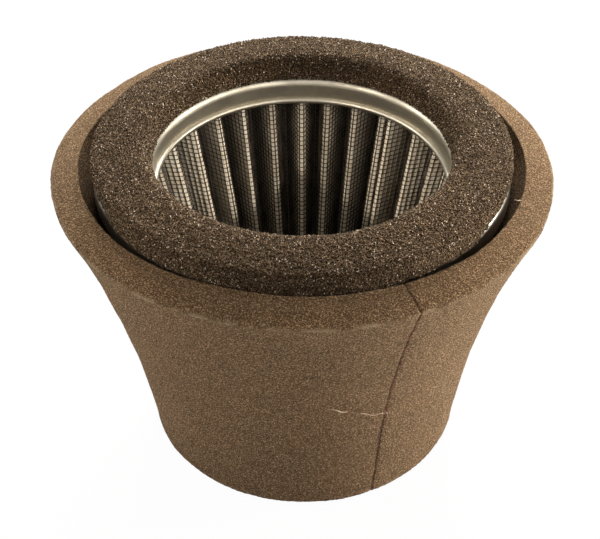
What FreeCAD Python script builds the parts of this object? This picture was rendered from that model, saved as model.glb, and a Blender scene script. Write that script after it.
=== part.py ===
"""Two-stage conical air filter: a pleated, wire-backed paper element between two steel end caps,
standing inside a flared foam pre-filter sleeve.

The element stands on its narrow end. A foam gasket on the wide end seals against the air box, whose
spigot enters the collar, and a stud passes up through the bushed hole in the narrow end.
Frame: millimetres, +Z up along the axis, origin on the axis where the foam sleeve stands.
"""

import FreeCAD, Part
import math
import os

import Sketcher
from FreeCAD import Placement, Rotation, Vector

# ---------------------------------------------------------------------------------------------
# Driving dimensions, in millimetres, degrees or counts
# ---------------------------------------------------------------------------------------------
SIZES = [
    # heights of the element
    ("bottom_lift", 1.0),             # narrow end's rim above the surface that the sleeve stands on
    ("element_height", 79.0),         # steel to steel, end cap to end cap
    ("cap_sheet", 0.6),               # steel thickness of caps and collar
    # wide end cap and its collar
    ("top_cap_radius", 51.0),
    ("top_flange_height", 5.0),
    ("collar_bore_radius", 36.5),     # takes the air box spigot
    ("collar_depth", 7.0),
    ("collar_bend_radius", 2.0),      # outside of the bend between flange and bore
    ("collar_flange_share", 0.51),    # share of the cap's width that the collar's flange covers
    ("collar_bead_radius", 0.8),      # rolled bead that stops the spigot
    ("joggle_clearance", 0.1),
    # narrow end cap
    ("bottom_cap_radius", 30.6),
    ("bottom_flange_height", 5.4),
    ("channel_inner_radius", 19.8),   # inner wall of the channel that holds the pleats
    ("pan_height", 4.0),              # how far the centre pan stands above the channel's floor
    ("cap_corner_radius", 1.2),       # outside of each pressed corner
    # stud hole
    ("grommet_hole_radius", 7.2),
    ("grommet_flange_radius", 9.6),
    ("grommet_lip", 1.6),             # thickness of each rubber lip
    ("stud_bore_radius", 3.3),        # M6 stud, clearance
    ("bush_wall", 1.0),
    ("bush_flange_radius", 7.4),
    ("bush_flange_thickness", 0.7),
    ("bush_clearance", 0.05),
    # potting that bonds the pleats into the caps
    ("potting_depth", 4.4),
    ("bottom_potting_depth", 3.2),
    ("pleat_embed", 2.4),
    ("potting_clearance", 0.05),
    # pleated pack
    ("pleat_folds", 31),              # inner folds, counted round the whole pack
    ("fold_inset_channel", 1.2),      # from the channel's wall to the inner folds' foot
    ("fold_inset_narrow", 0.6),       # from the narrow cap's inner wall to the outer folds there
    ("fold_inset_collar", 0.75),      # from the collar's outside to the inner folds round its foot
    ("fold_inset_wide", 2.4),         # from the wide cap's inner wall to the outer folds' head
    ("fold_radius", 0.75),
    ("mesh_thickness", 0.30),
    ("paper_thickness", 0.35),
    ("layer_gap", 0.06),
    # side seam of the pack
    ("seam_angle", 54.4),             # about Z from +X
    ("seam_flank_gap", 0.25),         # between the two ends that the clip holds
    ("clip_thickness", 0.4),
    ("clip_depth", 3.2),
    ("clip_gap", 0.08),
    # foam gasket
    ("gasket_overhang", 0.4),         # past the edge of the wide cap
    ("gasket_setback", 0.9),          # back from the collar's bore
    ("gasket_thickness", 6.0),
    ("gasket_edge_radius", 1.2),
    ("adhesive_thickness", 0.15),
    # foam pre-filter sleeve
    ("foam_thickness", 8.0),
    ("sleeve_clearance", 0.4),        # round the narrow cap
    ("sleeve_cap_clearance", 1.0),    # round the wide cap
    ("sleeve_foot_height", 6.5),      # straight part round the narrow cap
    ("sleeve_waist_share", 0.594),    # share of the filter's height at which the flare begins
    ("sleeve_waist_clearance", 0.5),  # from the pleats to the foam at the waist
    ("sleeve_edge_radius", 2.5),      # soft outer corners of the foam
    ("sleeve_bend_radius", 14.0),     # soft bends of the wall
    ("glue_thickness", 0.3),
    ("glue_angle", -64.0),            # about Z from +X
]

FULL_TURN = 360.0
STEP_FOLDER = "parts"


class Size:
    """A size that knows both its number and the spreadsheet expression that gives it."""

    def __init__(self, text, number):
        self.text = text
        self.number = number

    def __float__(self):
        return float(self.number)

    def __add__(self, other):
        other = as_size(other)
        return Size(f"({self.text} + {other.text})", self.number + other.number)

    def __sub__(self, other):
        other = as_size(other)
        return Size(f"({self.text} - {other.text})", self.number - other.number)

    def __mul__(self, other):
        other = as_size(other)
        return Size(f"({self.text} * {other.text})", self.number * other.number)

    def __truediv__(self, other):
        other = as_size(other)
        return Size(f"({self.text} / {other.text})", self.number / other.number)

    def __neg__(self):
        return Size(f"(0 - {self.text})", -self.number)


def as_size(value):
    return value if isinstance(value, Size) else Size(repr(float(value)), float(value))


def root(value):
    return Size(f"sqrt({value.text})", math.sqrt(value.number))


class Sizes:
    """The spreadsheet's cells as attributes."""

    def __init__(self, doc):
        sheet = doc.addObject("Spreadsheet::Sheet", "Sizes")
        for row, (alias, number) in enumerate(SIZES, start=1):
            sheet.set(f"A{row}", alias)
            sheet.set(f"B{row}", str(number))
            sheet.setAlias(f"B{row}", alias)
        doc.recompute()
        for alias, _ in SIZES:
            setattr(self, alias, Size(f"Sizes.{alias}", float(getattr(sheet, alias))))


# ---------------------------------------------------------------------------------------------
# Helpers for bodies made from sketches
# ---------------------------------------------------------------------------------------------
def origin_item(body, role):
    return next(item for item in body.Origin.OriginFeatures if item.Role == role)


def new_body(doc, label):
    body = doc.addObject("PartDesign::Body", label)
    body.Label = label
    return body


def bind(sketch, kind, geometry, place, size):
    """Holds one coordinate of a sketch point at a size of the spreadsheet."""
    if abs(size.number) < 1e-9:
        axis = -2 if kind == "DistanceX" else -1
        sketch.addConstraint(Sketcher.Constraint("PointOnObject", geometry, place, axis))
        return
    index = sketch.addConstraint(Sketcher.Constraint(kind, geometry, place, size.number))
    sketch.setExpression(f"Constraints[{index}]", size.text)


def polygon_sketch(body, name, plane, corners):
    """A closed outline of straight lines whose corners are held by the spreadsheet."""
    sketch = body.newObject("Sketcher::SketchObject", name)
    sketch.AttachmentSupport = [(origin_item(body, plane), "")]
    sketch.MapMode = "FlatFace"
    points = [Vector(float(x), float(y), 0) for x, y in corners]
    count = len(points)
    for start in range(count):
        end = (start + 1) % count
        sketch.addGeometry(Part.LineSegment(points[start], points[end]), False)
    for line in range(count):
        sketch.addConstraint(Sketcher.Constraint("Coincident", line, 2, (line + 1) % count, 1))
        bind(sketch, "DistanceX", line, 1, as_size(corners[line][0]))
        bind(sketch, "DistanceY", line, 1, as_size(corners[line][1]))
    return sketch


def revolved(doc, label, corners):
    """A body turned about Z from an outline of (radius, height) corners."""
    body = new_body(doc, label)
    sketch = polygon_sketch(body, f"{label}_outline", "XZ_Plane", corners)
    turn = body.newObject("PartDesign::Revolution", f"{label}_turn")
    turn.Profile = sketch
    turn.ReferenceAxis = (sketch, ["V_Axis"])
    turn.Angle = FULL_TURN
    sketch.Visibility = False
    doc.recompute()
    return body


def round_edges(doc, body, radius, circles):
    """Rounds the circular edges that run through the given (radius, height) places."""
    base = body.Tip
    names = []
    for ring_radius, height in circles:
        for number, edge in enumerate(base.Shape.Edges, start=1):
            curve = edge.Curve
            if not isinstance(curve, Part.Circle):
                continue
            same_radius = abs(curve.Radius - float(ring_radius)) < 1e-4
            if same_radius and abs(curve.Center.z - float(height)) < 1e-4:
                names.append(f"Edge{number}")
    if not names:
        raise RuntimeError(f"{body.Label}: no edge to round")
    fillet = body.newObject("PartDesign::Fillet", f"{body.Label}_round{len(body.Group)}")
    fillet.Base = (base, sorted(set(names)))
    fillet.Radius = float(radius)
    fillet.setExpression("Radius", radius.text)
    doc.recompute()
    return fillet


def shape_object(doc, label, shape):
    item = doc.addObject("Part::Feature", label)
    item.Label = label
    item.Shape = shape
    item.Placement = Placement()
    return item


# ---------------------------------------------------------------------------------------------
# Levels that several pieces share
# ---------------------------------------------------------------------------------------------
class Levels:
    """Heights and radii worked out from the driving dimensions."""

    def __init__(self, s):
        self.cap_floor = s.bottom_lift
        self.cap_floor_inside = s.bottom_lift + s.cap_sheet
        self.pan_underside = s.bottom_lift + s.pan_height
        self.pan_top = self.pan_underside + s.cap_sheet
        self.top_face = s.bottom_lift + s.element_height
        self.collar_foot = self.top_face - s.collar_depth
        self.bottom_potting_top = self.cap_floor_inside + s.bottom_potting_depth
        self.top_potting_foot = self.top_face - s.cap_sheet - s.potting_depth
        self.pleat_foot = self.bottom_potting_top - s.pleat_embed
        self.pleat_head = self.top_potting_foot + s.pleat_embed
        self.gasket_foot = self.top_face + s.adhesive_thickness
        self.gasket_face = self.gasket_foot + s.gasket_thickness
        self.bush_foot = self.pan_underside - s.grommet_lip - s.bush_flange_thickness
        self.cap_flange_foot = self.top_face - s.top_flange_height
        self.collar_flange = (s.top_cap_radius - s.collar_bore_radius) * s.collar_flange_share
        self.gasket_inner = s.collar_bore_radius + s.gasket_setback
        self.gasket_outer = s.top_cap_radius + s.gasket_overhang
        pack_height = self.pleat_head - self.pleat_foot
        self.inner_fold_low = s.channel_inner_radius + s.fold_inset_channel
        by_collar = s.collar_bore_radius + s.cap_sheet + s.fold_inset_collar
        inner_lean = (by_collar - self.inner_fold_low) / (self.collar_foot - self.pleat_foot)
        self.inner_fold_high = self.inner_fold_low + inner_lean * pack_height
        self.outer_fold_high = s.top_cap_radius - s.cap_sheet - s.fold_inset_wide
        by_mouth = s.bottom_cap_radius - s.cap_sheet - s.fold_inset_narrow
        cap_mouth = self.cap_floor + s.bottom_flange_height
        outer_lean = (self.outer_fold_high - by_mouth) / (self.pleat_head - cap_mouth)
        self.outer_fold_low = self.outer_fold_high - outer_lean * pack_height
        self.half_pack = s.mesh_thickness + s.layer_gap + s.paper_thickness / 2
        self.sleeve_foot_radius = s.bottom_cap_radius + s.sleeve_clearance
        self.waist = self.top_face * s.sleeve_waist_share
        pleats = self.outer_fold_low + outer_lean * (self.waist - self.pleat_foot)
        self.waist_radius = pleats + self.half_pack + s.sleeve_waist_clearance
        # above the waist the wall runs straight past the lower edge of the wide cap
        self.rim = self.top_face
        past_cap = s.top_cap_radius + s.sleeve_cap_clearance
        flare = (past_cap - self.waist_radius) / (self.cap_flange_foot - self.waist)
        self.rim_radius = self.waist_radius + flare * (self.rim - self.waist)


# ---------------------------------------------------------------------------------------------
# Wide end: cap, collar, adhesive and gasket
# ---------------------------------------------------------------------------------------------
def top_end_cap(doc, s, z):
    """Pressed annular cap whose inner margin is joggled down to seat the collar's flange."""
    inside = s.top_cap_radius - s.cap_sheet
    flange_foot = z.cap_flange_foot
    joggle = s.collar_bore_radius + z.collar_flange + s.joggle_clearance
    hole = s.collar_bore_radius + s.collar_bend_radius + s.joggle_clearance
    seat = z.top_face - s.cap_sheet
    below = seat - s.cap_sheet
    body = revolved(doc, "top_end_cap", [
        (inside, flange_foot), (s.top_cap_radius, flange_foot), (s.top_cap_radius, z.top_face),
        (joggle, z.top_face), (joggle, seat), (hole, seat), (hole, below),
        (joggle + s.cap_sheet, below), (joggle + s.cap_sheet, seat), (inside, seat),
    ])
    round_edges(doc, body, s.cap_corner_radius, [(s.top_cap_radius, z.top_face)])
    round_edges(doc, body, s.cap_corner_radius - s.cap_sheet, [(inside, seat)])
    return body


def collar_ring(doc, s, z):
    """Collar whose flange lies in the cap's joggle and whose foot is rolled into a bead."""
    bore = s.collar_bore_radius
    outside = bore + s.cap_sheet
    edge = bore + z.collar_flange
    underside = z.top_face - s.cap_sheet
    wall_foot = z.collar_foot + s.collar_bead_radius
    body = revolved(doc, "collar_ring", [
        (bore, wall_foot), (outside, wall_foot), (outside, underside), (edge, underside),
        (edge, z.top_face), (bore, z.top_face),
    ])
    round_edges(doc, body, s.collar_bend_radius, [(bore, z.top_face)])
    round_edges(doc, body, s.collar_bend_radius - s.cap_sheet, [(outside, underside)])
    sketch = body.newObject("Sketcher::SketchObject", "collar_ring_bead_outline")
    sketch.AttachmentSupport = [(origin_item(body, "XZ_Plane"), "")]
    sketch.MapMode = "FlatFace"
    centre = (outside - s.collar_bead_radius, wall_foot)
    sketch.addGeometry(Part.Circle(Vector(float(centre[0]), float(centre[1]), 0),
                                   Vector(0, 0, 1), float(s.collar_bead_radius)), False)
    index = sketch.addConstraint(
        Sketcher.Constraint("Radius", 0, float(s.collar_bead_radius)))
    sketch.setExpression(f"Constraints[{index}]", s.collar_bead_radius.text)
    bind(sketch, "DistanceX", 0, 3, centre[0])
    bind(sketch, "DistanceY", 0, 3, centre[1])
    bead = body.newObject("PartDesign::Revolution", "collar_ring_bead")
    bead.Profile = sketch
    bead.ReferenceAxis = (sketch, ["V_Axis"])
    bead.Angle = FULL_TURN
    doc.recompute()
    return body


def gasket_adhesive(doc, s, z):
    inner = z.gasket_inner + s.collar_bend_radius
    outer = s.top_cap_radius - s.cap_corner_radius
    return revolved(doc, "gasket_adhesive", [
        (inner, z.top_face), (outer, z.top_face), (outer, z.gasket_foot), (inner, z.gasket_foot),
    ])


def gasket_ring(doc, s, z):
    body = revolved(doc, "gasket_ring", [
        (z.gasket_inner, z.gasket_foot), (z.gasket_outer, z.gasket_foot),
        (z.gasket_outer, z.gasket_face), (z.gasket_inner, z.gasket_face),
    ])
    round_edges(doc, body, s.gasket_edge_radius, [
        (z.gasket_inner, z.gasket_face), (z.gasket_outer, z.gasket_face)])
    return body


# ---------------------------------------------------------------------------------------------
# Narrow end: cap, rubber grommet and steel bush round the stud hole
# ---------------------------------------------------------------------------------------------
def bottom_end_cap(doc, s, z):
    """Pressed cap: an outer flange, a channel for the pleats and a raised centre pan."""
    inside = s.bottom_cap_radius - s.cap_sheet
    flange_head = z.cap_floor + s.bottom_flange_height
    wall = s.channel_inner_radius
    body = revolved(doc, "bottom_end_cap", [
        (s.bottom_cap_radius, z.cap_floor), (s.bottom_cap_radius, flange_head),
        (inside, flange_head), (inside, z.cap_floor_inside), (wall, z.cap_floor_inside),
        (wall, z.pan_top), (s.grommet_hole_radius, z.pan_top),
        (s.grommet_hole_radius, z.pan_underside), (wall - s.cap_sheet, z.pan_underside),
        (wall - s.cap_sheet, z.cap_floor),
    ])
    round_edges(doc, body, s.cap_corner_radius, [
        (s.bottom_cap_radius, z.cap_floor), (wall, z.pan_top)])
    round_edges(doc, body, s.cap_corner_radius - s.cap_sheet, [
        (inside, z.cap_floor_inside), (wall - s.cap_sheet, z.pan_underside)])
    return body


def stud_grommet(doc, s, z):
    """Rubber ring that grips the pan's edge in its groove and carries the bush."""
    inner = s.stud_bore_radius + s.bush_wall + s.bush_clearance
    neck = s.grommet_hole_radius - s.bush_clearance
    lip = s.grommet_flange_radius
    foot = z.pan_underside - s.grommet_lip
    head = z.pan_top + s.grommet_lip
    body = revolved(doc, "stud_grommet", [
        (inner, foot), (lip, foot), (lip, z.pan_underside), (neck, z.pan_underside),
        (neck, z.pan_top), (lip, z.pan_top), (lip, head), (inner, head),
    ])
    round_edges(doc, body, s.grommet_lip / 4, [(lip, foot), (lip, head)])
    return body


def stud_bush(doc, s, z):
    """Flanged steel bush that takes the stud and keeps the nut from crushing the rubber."""
    outer = s.stud_bore_radius + s.bush_wall
    flange_top = z.bush_foot + s.bush_flange_thickness
    head = z.pan_top + s.grommet_lip
    return revolved(doc, "stud_bush", [
        (s.stud_bore_radius, z.bush_foot), (s.bush_flange_radius, z.bush_foot),
        (s.bush_flange_radius, flange_top), (outer, flange_top), (outer, head),
        (s.stud_bore_radius, head),
    ])


# ---------------------------------------------------------------------------------------------
# Pleated pack: wire mesh, paper and wire mesh folded together, open at the side seam
# ---------------------------------------------------------------------------------------------
def turned(direction, angle):
    c, n = math.cos(angle), math.sin(angle)
    return Vector(direction.x * c - direction.y * n, direction.x * n + direction.y * c, 0)


def left_of(direction):
    return Vector(-direction.y, direction.x, 0)


class PleatPlan:
    """The folds of the pack in one horizontal plane, seen along -Z and followed anticlockwise.

    The plan starts and ends at the side seam. An inner fold turns right about its centre and an
    outer fold turns left, so a shift of the line towards the outside takes from the radius of
    every inner fold what it adds to every outer one, and the flanks stay parallel.
    """

    def __init__(self, s, z, height):
        share = (height - float(z.pleat_foot)) / (float(z.pleat_head) - float(z.pleat_foot))
        inner = blend(z.inner_fold_low, z.inner_fold_high, share)
        outer = blend(z.outer_fold_low, z.outer_fold_high, share)
        self.height = height
        self.fold = float(s.fold_radius)
        self.half_pack = float(z.half_pack)
        seam = math.radians(float(s.seam_angle))
        self.seam_out = Vector(math.cos(seam), math.sin(seam), 0)
        # the clip's back lies level with the outer folds
        reach = outer + self.half_pack - float(s.clip_thickness) - float(s.clip_gap)
        self.end_radius = reach
        self.end_offset = self.half_pack + float(s.seam_flank_gap) / 2
        inner_centre = inner + self.fold
        outer_centre = outer - self.fold
        # the flanks held by the clip run parallel into the folds beside the seam
        beside = math.asin((self.fold + self.end_offset) / inner_centre)
        folds = int(float(s.pleat_folds))
        pitch = (2 * math.pi - 2 * beside) / (folds - 1)
        self.folds = []
        for number in range(folds):
            angle = seam + beside + number * pitch
            self.folds.append(("inner", on_circle(inner_centre, angle)))
            if number < folds - 1:
                self.folds.append(("outer", on_circle(outer_centre, angle + pitch / 2)))

    def radius(self, kind, shift):
        return self.fold - shift if kind == "inner" else self.fold + shift

    def flank(self, start, end, shift):
        """Where the straight flank between two neighbouring folds leaves one and meets the next."""
        (kind, a), (_, b) = start, end
        between = b - a
        lean = math.asin(2 * self.fold / between.Length)
        along = between.normalize()
        along = turned(along, -lean if kind == "inner" else lean)
        side = left_of(along)
        sign = 1 if kind == "inner" else -1
        leave = a + side * (sign * self.radius(kind, shift))
        other = "outer" if kind == "inner" else "inner"
        meet = b - side * (sign * self.radius(other, shift))
        return leave, meet

    def end_point(self, first, shift):
        """End of the pack at the seam, on the first or the last flank."""
        side = left_of(self.seam_out)
        centre = self.seam_out * self.end_radius
        away = self.end_offset if first else -self.end_offset
        outwards = 1 if first else -1
        return centre + side * (away + outwards * shift)

    def end_flank(self, first, shift):
        """The flank from the seam to the fold beside it, tangent to that fold."""
        _, centre = self.folds[0] if first else self.folds[-1]
        radius = self.radius("inner", shift)
        tip = self.end_point(first, shift)
        between = centre - tip
        lean = math.asin(radius / between.Length)
        along = turned(between.normalize(), lean if first else -lean)
        side = left_of(along) * (1 if first else -1)
        touch = centre + side * radius
        return tip, touch

    def line(self, shift):
        """Edges of the pack's line moved outwards by shift, from the seam round to the seam."""
        tip, touch = self.end_flank(True, shift)
        edges = [("line", tip, touch)]
        arrive = touch
        for number, (kind, centre) in enumerate(self.folds):
            if number + 1 < len(self.folds):
                leave, meet = self.flank(self.folds[number], self.folds[number + 1], shift)
            else:
                last_tip, leave = self.end_flank(False, shift)
                meet = last_tip
            middle = arc_middle(centre, arrive, leave, kind)
            edges.append(("arc", arrive, middle, leave))
            edges.append(("line", leave, meet))
            arrive = meet
        return edges

    def outline(self, low_shift, high_shift):
        """Closed wire round one layer of the pack."""
        there = self.line(low_shift)
        back = self.line(high_shift)
        edges = [self.edge(item) for item in there]
        edges.append(self.straight(there[-1][-1], back[-1][-1]))
        edges += [self.edge(item) for item in reversed(back)]
        edges.append(self.straight(back[0][1], there[0][1]))
        return Part.Wire(Part.__sortEdges__(edges))

    def lift(self, point):
        return Vector(point.x, point.y, self.height)

    def straight(self, start, end):
        return Part.LineSegment(self.lift(start), self.lift(end)).toShape()

    def edge(self, item):
        if item[0] == "line":
            return self.straight(item[1], item[2])
        return Part.Arc(self.lift(item[1]), self.lift(item[2]), self.lift(item[3])).toShape()


def blend(low, high, share):
    return float(low) + (float(high) - float(low)) * share


def on_circle(radius, angle):
    return Vector(radius * math.cos(angle), radius * math.sin(angle), 0)


def arc_middle(centre, start, end, kind):
    """Middle of a fold: an inner fold's nearest point to the axis, an outer fold's furthest."""
    middle = (start - centre) + (end - centre)
    if middle.Length < 1e-9:
        middle = Vector(centre)
    middle.normalize()
    facing_out = middle.dot(centre) > 0
    if facing_out != (kind == "outer"):
        middle = -middle
    return centre + middle * (start - centre).Length


def pleated_layer(s, z, low_shift, high_shift, foot=None, head=None):
    """One layer of the pack as a solid ruled between its outlines at the foot and the head."""
    foot = float(z.pleat_foot) if foot is None else foot
    head = float(z.pleat_head) if head is None else head
    wires = [PleatPlan(s, z, level).outline(low_shift, high_shift) for level in (foot, head)]
    solid = Part.makeLoft(wires, True, True)
    if solid.Volume < 0:
        solid.reverse()
    return solid


def pleated_pack(doc, s, z):
    """Inner mesh, paper and outer mesh, from the inside out."""
    mesh, paper, gap = float(s.mesh_thickness), float(s.paper_thickness), float(s.layer_gap)
    low = -float(z.half_pack)
    made = []
    for label, thickness in (("inner_mesh", mesh), ("filter_paper", paper), ("outer_mesh", mesh)):
        made.append(shape_object(doc, label, pleated_layer(s, z, low, low + thickness)))
        low += thickness + gap
    return made


def seam_clip(doc, s, z):
    """Steel channel pressed over the two ends of the pack, all the way up the side seam."""
    gap, sheet = float(s.clip_gap), float(s.clip_thickness)
    wires = []
    foot = float(z.bottom_potting_top) + float(s.potting_clearance)
    head = float(z.top_potting_foot) - float(s.potting_clearance)
    for height in (foot, head):
        plan = PleatPlan(s, z, height)
        side = left_of(plan.seam_out)
        half_inside = 2 * plan.half_pack + float(s.seam_flank_gap) / 2 + gap
        half_outside = half_inside + sheet
        back_inside = plan.end_radius + gap
        back = back_inside + sheet
        mouth = back - float(s.clip_depth)
        corners = [(mouth, half_outside), (back, half_outside), (back, -half_outside),
                   (mouth, -half_outside), (mouth, -half_inside), (back_inside, -half_inside),
                   (back_inside, half_inside), (mouth, half_inside)]
        points = [plan.lift(plan.seam_out * along + side * across) for along, across in corners]
        wires.append(Part.makePolygon(points + points[:1]))
    return shape_object(doc, "seam_clip", Part.makeLoft(wires, True, True))


def seam_sealant(doc, s, z):
    """Strip of sealant between the two ends of the pack, inside the clip."""
    half = float(s.seam_flank_gap) / 2 - float(s.potting_clearance)
    wires = []
    foot = float(z.bottom_potting_top) + float(s.potting_clearance)
    head = float(z.top_potting_foot) - float(s.potting_clearance)
    for height in (foot, head):
        plan = PleatPlan(s, z, height)
        side = left_of(plan.seam_out)
        mouth = plan.end_radius - float(s.clip_depth)
        corners = [(mouth, half), (plan.end_radius, half), (plan.end_radius, -half),
                   (mouth, -half)]
        points = [plan.lift(plan.seam_out * along + side * across) for along, across in corners]
        wires.append(Part.makePolygon(points + points[:1]))
    return shape_object(doc, "seam_sealant", Part.makeLoft(wires, True, True))


# ---------------------------------------------------------------------------------------------
# Potting: a turned ring with a pocket in the shape of the pack
# ---------------------------------------------------------------------------------------------
def turned_ring(corners):
    points = [Vector(float(r), 0, float(h)) for r, h in corners]
    face = Part.Face(Part.makePolygon(points + points[:1]))
    return face.revolve(Vector(0, 0, 0), Vector(0, 0, 1), FULL_TURN)


def potted(doc, s, z, label, corners):
    """A turned ring less the pack and its clearance."""
    gap = float(s.layer_gap)
    half = float(z.half_pack) + gap
    pocket = pleated_layer(s, z, -half, half, float(z.pleat_foot) - gap, float(z.pleat_head) + gap)
    ring = turned_ring(corners).cut(pocket)
    return shape_object(doc, label, ring)


def top_potting(doc, s, z):
    clear = s.potting_clearance
    inner = s.collar_bore_radius + s.cap_sheet + clear
    outer = s.top_cap_radius - s.cap_sheet - clear
    ceiling = z.top_face - s.cap_sheet
    step = s.collar_bore_radius + z.collar_flange + s.joggle_clearance + s.cap_sheet + clear
    bend = s.collar_bore_radius + s.collar_bend_radius + s.joggle_clearance + clear
    corner = s.cap_corner_radius - s.cap_sheet + clear
    return potted(doc, s, z, "top_potting", [
        (inner, z.top_potting_foot), (outer, z.top_potting_foot), (outer, ceiling - corner),
        (outer - corner, ceiling), (step, ceiling), (step, ceiling - s.cap_sheet),
        (bend, ceiling - s.cap_sheet), (bend, z.top_face - s.collar_bend_radius),
        (inner, z.top_face - s.collar_bend_radius),
    ])


def bottom_potting(doc, s, z):
    clear = s.potting_clearance
    inner = s.channel_inner_radius + clear
    outer = s.bottom_cap_radius - s.cap_sheet - clear
    corner = s.cap_corner_radius - s.cap_sheet + clear
    return potted(doc, s, z, "bottom_potting", [
        (inner, z.cap_floor_inside), (outer - corner, z.cap_floor_inside),
        (outer, z.cap_floor_inside + corner), (outer, z.bottom_potting_top),
        (inner, z.bottom_potting_top),
    ])


# ---------------------------------------------------------------------------------------------
# Foam sleeve and the glued butt seam down its side
# ---------------------------------------------------------------------------------------------
def sleeve_corners(s, z):
    """Outline of the foam wall as (radius, height): up the inside and down the outside.

    The wall keeps its thickness, so each outer corner is moved out square to the wall.
    """
    foot = z.sleeve_foot_radius
    inner = [(foot, as_size(0.0)), (foot, s.sleeve_foot_height), (z.waist_radius, z.waist),
             (z.rim_radius, z.rim)]
    normals = []
    for (r0, h0), (r1, h1) in zip(inner, inner[1:]):
        length = root((r1 - r0) * (r1 - r0) + (h1 - h0) * (h1 - h0))
        normals.append(((h1 - h0) / length, (r0 - r1) / length))
    t = s.foam_thickness
    outer = []
    for number, (r, h) in enumerate(inner):
        if number in (0, len(inner) - 1):
            n = normals[0] if number == 0 else normals[-1]
            outer.append((r + n[0] * t, h + n[1] * t))
            continue
        a, b = normals[number - 1], normals[number]
        # a mitre: the point that lies one thickness off both walls
        share = t / (a[0] * b[0] + a[1] * b[1] + 1.0)
        outer.append((r + (a[0] + b[0]) * share, h + (a[1] + b[1]) * share))
    return inner + outer[::-1]


def foam_sleeve(doc, s, z):
    """The turned foam wall, slit where its two edges are glued."""
    corners = sleeve_corners(s, z)
    body = revolved(doc, "foam_sleeve", corners)
    bends = [corners[1], corners[2], corners[5], corners[6]]
    rims = [corners[4], corners[7]]
    round_edges(doc, body, s.sleeve_bend_radius, bends)
    round_edges(doc, body, s.sleeve_edge_radius, rims)
    near = z.sleeve_foot_radius - s.foam_thickness
    far = z.rim_radius + s.foam_thickness * 2
    half_slit = s.glue_thickness / 2
    sketch = polygon_sketch(body, "foam_sleeve_slit_outline", "XY_Plane", [
        (near, -half_slit), (far, -half_slit), (far, half_slit), (near, half_slit)])
    slit = body.newObject("PartDesign::Pocket", "foam_sleeve_slit")
    slit.Profile = sketch
    slit.Type = "ThroughAll"
    slit.Reversed = True
    before = body.Shape.Volume
    doc.recompute()
    if body.Shape.Volume >= before:
        raise RuntimeError("the slit cut nothing")
    body.Placement = Placement(Vector(), Rotation(Vector(0, 0, 1), float(s.glue_angle)))
    body.setExpression("Placement.Rotation.Angle", s.glue_angle.text)
    doc.recompute()
    return body


def sleeve_seam_glue(doc, s, z, sleeve):
    """Film of contact glue that fills the slit, in the exact outline of the wall."""
    whole = next(item for item in reversed(sleeve.Group) if item.TypeId == "PartDesign::Fillet")
    reach = float(z.rim_radius + s.foam_thickness * 2)
    thickness = float(s.glue_thickness)
    film = Part.makeBox(reach, thickness, float(z.rim), Vector(0, -thickness / 2, 0))
    shape = whole.Shape.common(film)
    shape.Placement = Placement(Vector(), Rotation(Vector(0, 0, 1), float(s.glue_angle)))
    item = doc.addObject("Part::Feature", "sleeve_seam_glue")
    item.Label = "sleeve_seam_glue"
    item.Shape = shape
    return item


# ---------------------------------------------------------------------------------------------
# Build, test and write
# ---------------------------------------------------------------------------------------------
def check(doc, pieces):
    for item in doc.Objects:
        if "Invalid" in item.State or "Error" in item.State:
            raise RuntimeError(f"{item.Label} failed: {item.State}")
    for item in pieces:
        if item.Shape.isNull() or not item.Shape.isValid():
            raise RuntimeError(f"{item.Label} has no valid shape")
        if not item.Shape.Solids:
            raise RuntimeError(f"{item.Label} is not solid")


def main():
    doc = FreeCAD.newDocument("air_filter")
    s = Sizes(doc)
    z = Levels(s)
    pieces = [
        top_end_cap(doc, s, z), collar_ring(doc, s, z), gasket_adhesive(doc, s, z),
        gasket_ring(doc, s, z), bottom_end_cap(doc, s, z), stud_grommet(doc, s, z),
        stud_bush(doc, s, z), *pleated_pack(doc, s, z), seam_clip(doc, s, z),
        seam_sealant(doc, s, z), top_potting(doc, s, z), bottom_potting(doc, s, z),
    ]
    sleeve = foam_sleeve(doc, s, z)
    pieces += [sleeve, sleeve_seam_glue(doc, s, z, sleeve)]
    doc.recompute()
    check(doc, pieces)
    os.makedirs(STEP_FOLDER, exist_ok=True)
    for item in pieces:
        item.Shape.exportStep(os.path.join(STEP_FOLDER, f"{item.Label}.step"))
        print(f"{item.Label}: {len(item.Shape.Solids)} solid, {item.Shape.Volume / 1000:.2f} cm3")


main()
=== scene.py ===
# %% [markdown]
# # A two-stage conical air filter
# A pleated paper element, backed on both faces by woven wire and closed by two pressed steel
# caps, stands in a flared sock of oiled foam. A thick ring of coarse foam on the wide end seals
# it against the air box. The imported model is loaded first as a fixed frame: every place below
# comes from it, so that the looks sit exactly on the parts that move.

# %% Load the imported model
import math

import bpy
import numpy as np
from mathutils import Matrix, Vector
from mathutils.bvhtree import BVHTree


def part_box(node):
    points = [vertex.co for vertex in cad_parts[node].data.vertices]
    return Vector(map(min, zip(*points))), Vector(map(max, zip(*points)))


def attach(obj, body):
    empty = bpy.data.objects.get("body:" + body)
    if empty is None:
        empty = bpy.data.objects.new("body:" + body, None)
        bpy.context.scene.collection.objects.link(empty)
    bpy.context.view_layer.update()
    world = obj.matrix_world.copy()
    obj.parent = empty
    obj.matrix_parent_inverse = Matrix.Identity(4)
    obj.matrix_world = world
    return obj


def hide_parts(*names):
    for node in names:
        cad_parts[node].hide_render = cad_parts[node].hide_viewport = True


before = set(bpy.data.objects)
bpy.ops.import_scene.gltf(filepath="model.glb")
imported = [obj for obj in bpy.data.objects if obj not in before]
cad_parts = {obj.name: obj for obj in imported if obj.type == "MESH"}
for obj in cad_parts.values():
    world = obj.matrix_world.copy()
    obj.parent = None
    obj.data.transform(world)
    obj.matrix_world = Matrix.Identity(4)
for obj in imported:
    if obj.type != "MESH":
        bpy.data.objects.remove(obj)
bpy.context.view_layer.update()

MM = 0.001

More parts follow.
